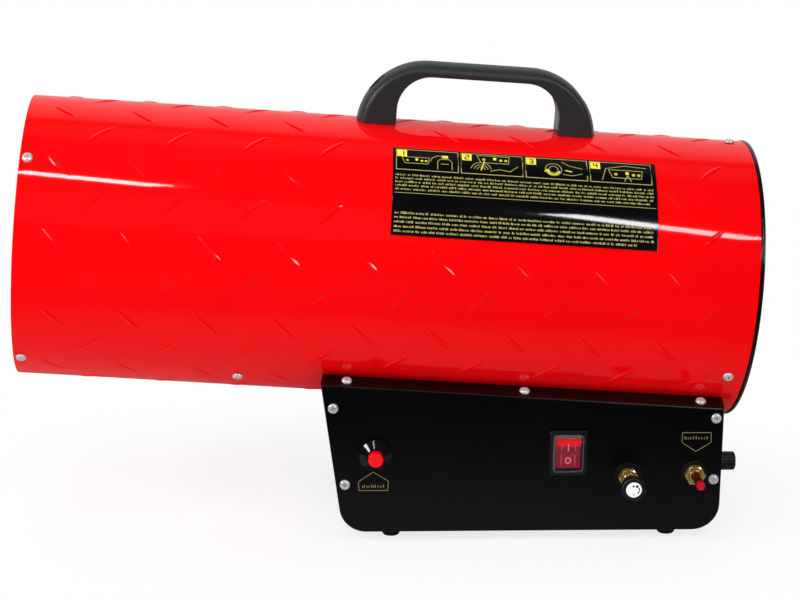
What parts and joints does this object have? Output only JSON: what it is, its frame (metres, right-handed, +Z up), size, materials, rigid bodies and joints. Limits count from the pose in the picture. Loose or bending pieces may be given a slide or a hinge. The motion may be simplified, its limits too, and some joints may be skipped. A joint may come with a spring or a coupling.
{
  "type": "forced air gas heater",
  "caption": "Portable gas-fired forced air heater: a tilted red steel tube with fan, burner and carrying handle on a black base box with gas and switch controls.",
  "frame": {"origin": "on the floor, under the middle of the whole heater's box", "axes": "+X towards the fan inlet, -Y towards the control panel, +Z up"},
  "size_m": [0.5702, 0.2322, 0.3603],
  "materials": {
    "red_paint": "gloss enamel over rolled steel sheet, with pressed slashes",
    "black_paint": "semi-gloss powder coat on folded steel sheet",
    "black_plastic": "satin moulded plastic",
    "gloss_black": "gloss black plastic and plastic-coated wire",
    "plate_print": "gloss black sticker with yellow print",
    "red_plastic": "gloss red moulded plastic",
    "zinc": "bright zinc-plated steel",
    "brass": "machined brass",
    "copper": "drawn copper",
    "bare_steel": "bare heat-tinted steel",
    "aluminium": "pressed aluminium sheet",
    "rubber": "matt moulded rubber",
    "ceramic": "glazed ceramic",
    "white_plastic": "white moulded plastic",
    "clear_cover": "clear soft plastic cover",
    "lead_cover": "silicone-covered high-voltage lead"
  },
  "bodies": {
    "housing": {"outlet_screw_1": "zinc", "outlet_screw_2": "zinc", "outlet_screw_3": "zinc", "outlet_screw_4": "zinc", "guard_screw_1": "zinc", "guard_screw_2": "zinc", "guard_screw_3": "zinc", "panel_screw_1": "zinc", "panel_screw_2": "zinc", "panel_screw_3": "zinc", "panel_screw_4": "zinc", "lip_screw_1": "zinc", "lip_screw_2": "zinc", "lip_screw_3": "zinc", "motor_bracket": "zinc", "outlet_guard": "zinc", "saddle_rail_front": "zinc", "saddle_rail_rear": "zinc", "foot_front_left": "rubber", "foot_front_right": "rubber", "foot_rear_left": "rubber", "foot_rear_right": "rubber", "regulator_washer": "rubber", "valve_washer": "rubber", "outer_shell": "red_paint", "inlet_guard": "gloss_black", "flame_tube": "bare_steel", "burner_bracket": "bare_steel", "burner_head": "bare_steel", "gas_nozzle": "brass", "spark_electrode": "ceramic", "flame_sensor": "copper", "fan_motor": "bare_steel", "overheat_cutout": "black_plastic", "handle": "black_plastic", "instruction_plate": "plate_print", "control_panel": "black_paint", "rear_panel": "black_paint", "base_tray": "black_paint", "igniter_housing": "gloss_black", "switch_housing": "gloss_black", "switch_hood": "clear_cover", "regulator_body": "brass", "regulator_nut": "brass", "valve_body": "brass", "valve_nut": "brass", "gas_inlet_nipple": "brass", "gas_feed_pipe": "copper", "igniter_lead": "lead_cover", "cable_gland": "black_plastic", "terminal_block": "white_plastic"},
    "fan": {"motor_shaft": "zinc", "fan_impeller": "aluminium", "fan_lock_nut": "zinc"},
    "igniter_button": {"igniter_button": "red_plastic"},
    "valve_button": {"valve_button": "red_plastic"},
    "regulator_knob": {"regulator_knob": "black_plastic", "knob_disc": "white_plastic"},
    "switch_rocker": {"switch_rocker": "red_plastic"},
    "inlet_cap": {"inlet_dust_cap": "black_plastic"}
  },
  "joints": [
    {"name": "fan_spin", "type": "hinge", "parent": "housing", "child": "fan", "pos_m": [0.17495, 0.00515, 0.19452], "axis": [0.9979, 0, -0.0649], "continuous": true},
    {"name": "ignition_press", "type": "slide", "parent": "housing", "child": "igniter_button", "axis": [0, 1, 0], "range_m": [0, 0.007], "stiffness_N_per_m": 800, "springref_m": -0.002},
    {"name": "gas_valve_press", "type": "slide", "parent": "housing", "child": "valve_button", "axis": [0, 1, 0], "range_m": [0, 0.005], "stiffness_N_per_m": 1000, "springref_m": -0.002},
    {"name": "regulator_turn", "type": "hinge", "parent": "housing", "child": "regulator_knob", "pos_m": [0.18543, -0.10485, 0.0534], "axis": [0, -1, 0], "range_deg": [0, 270]},
    {"name": "rocker_tilt", "type": "hinge", "parent": "housing", "child": "switch_rocker", "pos_m": [0.13833, -0.08485, 0.073], "axis": [1, 0, 0], "range_deg": [-20, 0]},
    {"name": "dust_cap_pull", "type": "slide", "parent": "housing", "child": "inlet_cap", "axis": [1, 0, 0], "range_m": [0, 0.02]}
  ]
}
